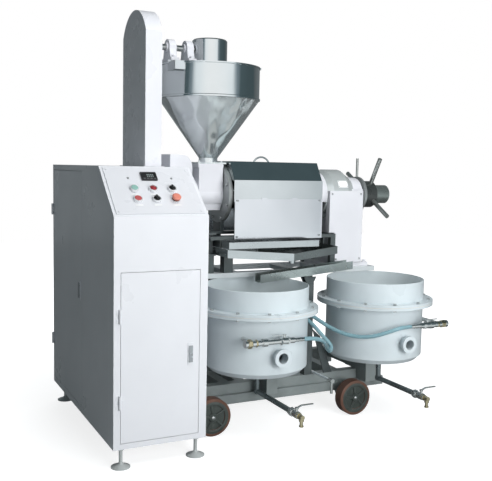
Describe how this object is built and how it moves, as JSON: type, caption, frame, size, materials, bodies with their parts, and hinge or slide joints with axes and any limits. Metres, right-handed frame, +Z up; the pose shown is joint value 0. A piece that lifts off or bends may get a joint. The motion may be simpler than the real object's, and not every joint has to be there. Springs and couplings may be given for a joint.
{
  "type": "screw oil press",
  "caption": "Screw oil press with a drive cabinet, belt-driven hopper feeder, barred press cage and vacuum oil filter drums on a wheeled frame.",
  "frame": {"origin": "on the floor under the middle of the machine's bounding box, hoses left out", "axes": "+X along the press from the cabinet to the adjusting nut, +Y to the back, +Z up"},
  "size_m": [1.83, 1.31, 2.0459],
  "materials": {
    "cabinet_paint": "semi-gloss silver grey enamel",
    "frame_paint": "satin dark grey paint",
    "drum_paint": "smooth pale blue-grey enamel",
    "casting_paint": "silver grey paint on castings",
    "black_paint": "black paint",
    "stainless": "brushed and polished stainless sheet",
    "machined_steel": "turned steel with a film of oil",
    "cage_steel": "hardened bars darkened by oil",
    "bezel_metal": "bright collars",
    "brass_valve": "plated and bare brass",
    "black_plastic": "matt black plastic",
    "green_plastic": "gloss green plastic",
    "red_plastic": "gloss red plastic",
    "belt_rubber": "black belt rubber",
    "wheel_tread": "red-brown rubber on a dark wheel",
    "hose_plastic": "clear blue-green hose",
    "filter_cloth": "filter cloth on a plate"
  },
  "bodies": {
    "machine": {"cabinet_shell": "cabinet_paint", "cabinet_hinges": "machined_steel", "levelling_feet": "machined_steel", "control_panel": "cabinet_paint", "temperature_controller": "black_plastic", "panel_bezels": "bezel_metal", "electrical_plate": "black_plastic", "belt_guard": "cabinet_paint", "v_belts": "belt_rubber", "motor": "casting_paint", "gearbox": "casting_paint", "bearing_bracket": "casting_paint", "gear_cover": "stainless", "hopper": "stainless", "feed_throat": "casting_paint", "cage_flange": "casting_paint", "press_cage": "cage_steel", "cake_outlet": "casting_paint", "side_covers": "stainless", "end_pedestal": "casting_paint", "press_frame": "frame_paint", "frame_posts": "frame_paint", "base_frame": "frame_paint", "oil_pan": "stainless", "left_drum": "drum_paint", "right_drum": "drum_paint", "drum_rings": "drum_paint", "filter_plates": "filter_cloth", "drum_bolts": "machined_steel", "vacuum_fittings": "brass_valve", "drain_pipes": "brass_valve", "left_hose": "hose_plastic", "right_hose": "hose_plastic"},
    "front_door": {"front_door": "cabinet_paint"},
    "side_door": {"side_door": "cabinet_paint"},
    "front_door_lock": {"front_door_lock": "bezel_metal"},
    "side_door_lock": {"side_door_lock": "bezel_metal"},
    "green_button": {"green_button": "green_plastic"},
    "red_button": {"red_button": "red_plastic"},
    "mode_selector": {"mode_selector": "black_plastic"},
    "heater_selector": {"heater_selector": "black_plastic"},
    "emergency_stop": {"emergency_stop": "red_plastic"},
    "motor_pulley": {"motor_pulley": "cage_steel"},
    "input_pulleys": {"input_pulleys": "cage_steel"},
    "feeder_shaft": {"feeder_shaft": "machined_steel"},
    "feed_auger": {"feed_auger": "machined_steel"},
    "press_worm": {"press_worm": "machined_steel"},
    "choke_sleeve": {"choke_sleeve": "machined_steel"},
    "cage_hood": {"cage_hood": "stainless"},
    "front_cover": {"front_cover": "stainless"},
    "lock_ring": {"lock_ring": "black_paint"},
    "adjusting_nut": {"adjusting_nut": "black_paint"},
    "residue_tray": {"residue_tray": "stainless"},
    "oil_trough": {"oil_trough": "stainless"},
    "left_drain_lever": {"left_drain_lever": "machined_steel"},
    "right_drain_lever": {"right_drain_lever": "machined_steel"},
    "left_vacuum_lever": {"left_vacuum_lever": "machined_steel"},
    "right_vacuum_lever": {"right_vacuum_lever": "machined_steel"},
    "left_wheels": {"left_wheels": "wheel_tread"},
    "right_wheels": {"right_wheels": "wheel_tread"}
  },
  "joints": [
    {"name": "front_door_swing", "type": "hinge", "parent": "machine", "child": "front_door", "pos_m": [-0.876, -0.507, 0.48], "axis": [0, 0, -1], "range_deg": [0, 110]},
    {"name": "side_door_swing", "type": "hinge", "parent": "machine", "child": "side_door", "pos_m": [-0.909, 0.645, 0.69], "axis": [0, 0, -1], "range_deg": [0, 110]},
    {"name": "front_lock_lift", "type": "hinge", "parent": "front_door", "child": "front_door_lock", "pos_m": [-0.555, -0.5065, 0.438], "axis": [1, 0, 0], "range_deg": [0, 60]},
    {"name": "side_lock_lift", "type": "hinge", "parent": "side_door", "child": "side_door_lock", "pos_m": [-0.9085, 0.068, 0.651], "axis": [0, -1, 0], "range_deg": [0, 60]},
    {"name": "green_button_press", "type": "slide", "parent": "machine", "child": "green_button", "axis": [0, 0.6583, -0.7528], "range_m": [0, 0.004], "stiffness_N_per_m": 400},
    {"name": "red_button_press", "type": "slide", "parent": "machine", "child": "red_button", "axis": [0, 0.6583, -0.7528], "range_m": [0, 0.004], "stiffness_N_per_m": 400},
    {"name": "mode_selector_turn", "type": "hinge", "parent": "machine", "child": "mode_selector", "pos_m": [-0.605, -0.3783, 1.1883], "axis": [0, -0.6583, 0.7528], "range_deg": [-45, 45]},
    {"name": "heater_selector_turn", "type": "hinge", "parent": "machine", "child": "heater_selector", "pos_m": [-0.693, -0.42723, 1.14551], "axis": [0, -0.6583, 0.7528], "range_deg": [-45, 45]},
    {"name": "emergency_stop_press", "type": "slide", "parent": "machine", "child": "emergency_stop", "axis": [0, 0.6583, -0.7528], "range_m": [0, 0.005]},
    {"name": "motor_spin", "type": "hinge", "parent": "machine", "child": "motor_pulley", "pos_m": [-0.803, 0.106, 0.245], "axis": [1, 0, 0], "continuous": true},
    {"name": "input_spin", "type": "hinge", "parent": "machine", "child": "input_pulleys", "pos_m": [-0.653, 0.106, 1.06], "axis": [1, 0, 0], "continuous": true},
    {"name": "feeder_spin", "type": "hinge", "parent": "machine", "child": "feeder_shaft", "pos_m": [-0.403, 0.106, 1.885], "axis": [1, 0, 0], "continuous": true},
    {"name": "auger_spin", "type": "hinge", "parent": "machine", "child": "feed_auger", "pos_m": [-0.221, 0.106, 1.5], "axis": [0, 0, 1], "continuous": true},
    {"name": "worm_spin", "type": "hinge", "parent": "machine", "child": "press_worm", "pos_m": [0.047, 0.106, 1.155], "axis": [1, 0, 0], "continuous": true},
    {"name": "choke_slide", "type": "slide", "parent": "machine", "child": "choke_sleeve", "axis": [1, 0, 0], "range_m": [-0.003, 0.003]},
    {"name": "hood_lift", "type": "slide", "parent": "machine", "child": "cage_hood", "axis": [0, -0.9397, 0.342], "range_m": [0, 0.33]},
    {"name": "front_cover_lift", "type": "slide", "parent": "machine", "child": "front_cover", "axis": [0, -1, 0], "range_m": [0, 0.15]},
    {"name": "lock_ring_turn", "type": "hinge", "parent": "machine", "child": "lock_ring", "pos_m": [0.703, 0.106, 1.155], "axis": [1, 0, 0], "range_deg": [-60, 60]},
    {"name": "nut_turn", "type": "hinge", "parent": "machine", "child": "adjusting_nut", "pos_m": [0.789, 0.106, 1.155], "axis": [1, 0, 0], "range_deg": [-180, 180]},
    {"name": "tray_slide", "type": "slide", "parent": "machine", "child": "residue_tray", "axis": [0, -1, 0], "range_m": [0, 0.26]},
    {"name": "trough_tilt", "type": "hinge", "parent": "machine", "child": "oil_trough", "pos_m": [0.259, -0.139, 0.722], "axis": [0, 1, 0], "range_deg": [0, 10.2]},
    {"name": "left_drain_turn", "type": "hinge", "parent": "machine", "child": "left_drain_lever", "pos_m": [-0.063, -0.599, 0.195], "axis": [0, 0, 1], "range_deg": [0, 90]},
    {"name": "right_drain_turn", "type": "hinge", "parent": "machine", "child": "right_drain_lever", "pos_m": [0.662, -0.599, 0.195], "axis": [0, 0, 1], "range_deg": [0, 90]},
    {"name": "left_vacuum_turn", "type": "hinge", "parent": "machine", "child": "left_vacuum_lever", "pos_m": [-0.11, -0.551, 0.533], "axis": [0, 0, 1], "range_deg": [0, 90]},
    {"name": "right_vacuum_turn", "type": "hinge", "parent": "machine", "child": "right_vacuum_lever", "pos_m": [0.723, -0.551, 0.543], "axis": [0, 0, -1], "range_deg": [0, 90]},
    {"name": "left_wheels_spin", "type": "hinge", "parent": "machine", "child": "left_wheels", "pos_m": [-0.348, 0.106, 0.0925], "axis": [0, 1, 0], "continuous": true},
    {"name": "right_wheels_spin", "type": "hinge", "parent": "machine", "child": "right_wheels", "pos_m": [0.474, 0.106, 0.0925], "axis": [0, 1, 0], "continuous": true}
  ],
  "couplings": [
    {"joint": "motor_spin", "follows": "input_spin", "ratio": 2.5},
    {"joint": "feeder_spin", "follows": "input_spin", "ratio": 1},
    {"joint": "auger_spin", "follows": "input_spin", "ratio": -0.5},
    {"joint": "worm_spin", "follows": "input_spin", "ratio": 0.08},
    {"joint": "choke_slide", "follows": "nut_turn", "m_per_rad": -0.00095493}
  ]
}
